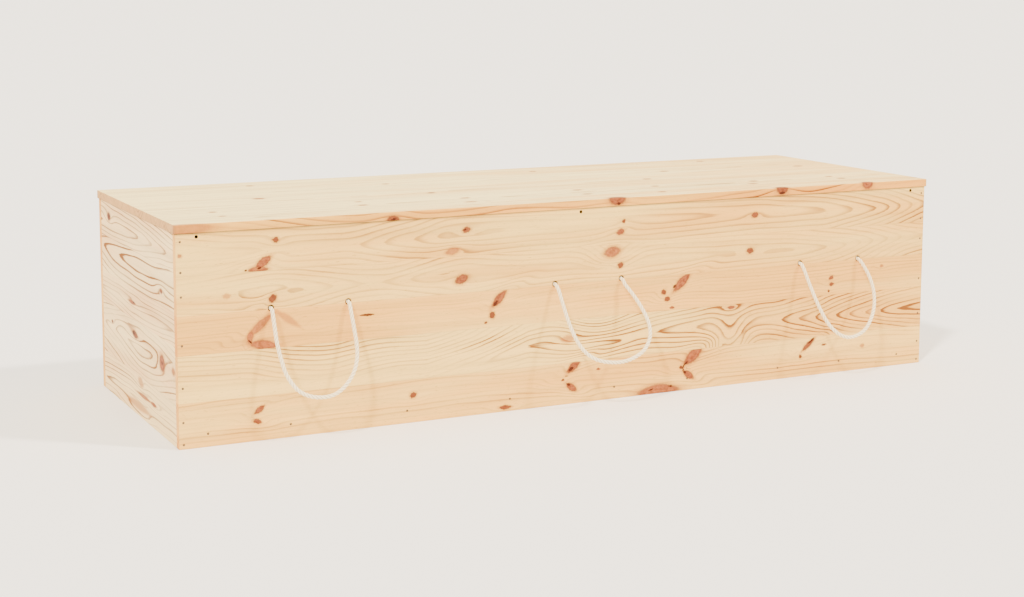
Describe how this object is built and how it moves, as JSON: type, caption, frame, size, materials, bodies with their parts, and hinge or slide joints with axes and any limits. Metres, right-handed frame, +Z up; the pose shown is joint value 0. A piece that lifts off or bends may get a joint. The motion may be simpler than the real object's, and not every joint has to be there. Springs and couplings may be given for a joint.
{
  "type": "pine coffin",
  "caption": "Plain rectangular pine coffin with a flat lift-off lid and rope loop handles along both long sides.",
  "frame": {"origin": "middle of the footprint, on the surface the coffin stands on", "axes": "+X along the length, +Z up, the long side shown in the picture faces -Y"},
  "size_m": [2.006, 0.8848, 0.4883],
  "materials": {
    "side_pine": "bare planed pine with brown knots, satin",
    "end_pine": "bare planed pine with bold flat-sawn figure, satin",
    "lid_pine": "bare planed pine, pale, satin",
    "bottom_pine": "bare planed pine, matte",
    "cotton_rope": "cream twisted cotton rope",
    "nail_steel": "dull grey steel nail heads"
  },
  "bodies": {
    "root": {"side_board_front": "side_pine", "side_board_back": "side_pine", "end_board_left": "end_pine", "end_board_right": "end_pine", "bottom_board": "bottom_pine", "lid_board": "lid_pine", "rope_handle_front_1": "cotton_rope", "rope_handle_front_2": "cotton_rope", "rope_handle_front_3": "cotton_rope", "rope_handle_back_1": "cotton_rope", "rope_handle_back_2": "cotton_rope", "rope_handle_back_3": "cotton_rope", "rope_knot_front_1_left": "cotton_rope", "rope_knot_front_1_right": "cotton_rope", "rope_knot_front_2_left": "cotton_rope", "rope_knot_front_2_right": "cotton_rope", "rope_knot_front_3_left": "cotton_rope", "rope_knot_front_3_right": "cotton_rope", "rope_knot_back_1_left": "cotton_rope", "rope_knot_back_1_right": "cotton_rope", "rope_knot_back_2_left": "cotton_rope", "rope_knot_back_2_right": "cotton_rope", "rope_knot_back_3_left": "cotton_rope", "rope_knot_back_3_right": "cotton_rope", "nail_front_left_1": "nail_steel", "nail_front_left_2": "nail_steel", "nail_front_left_3": "nail_steel", "nail_front_left_4": "nail_steel", "nail_front_left_5": "nail_steel", "nail_front_left_6": "nail_steel", "nail_front_left_7": "nail_steel", "nail_front_right_1": "nail_steel", "nail_front_right_2": "nail_steel", "nail_front_right_3": "nail_steel", "nail_front_right_4": "nail_steel", "nail_front_right_5": "nail_steel", "nail_front_right_6": "nail_steel", "nail_front_right_7": "nail_steel", "nail_back_left_1": "nail_steel", "nail_back_left_2": "nail_steel", "nail_back_left_3": "nail_steel", "nail_back_left_4": "nail_steel", "nail_back_left_5": "nail_steel", "nail_back_left_6": "nail_steel", "nail_back_left_7": "nail_steel", "nail_back_right_1": "nail_steel", "nail_back_right_2": "nail_steel", "nail_back_right_3": "nail_steel", "nail_back_right_4": "nail_steel", "nail_back_right_5": "nail_steel", "nail_back_right_6": "nail_steel", "nail_back_right_7": "nail_steel"}
  },
  "joints": []
}
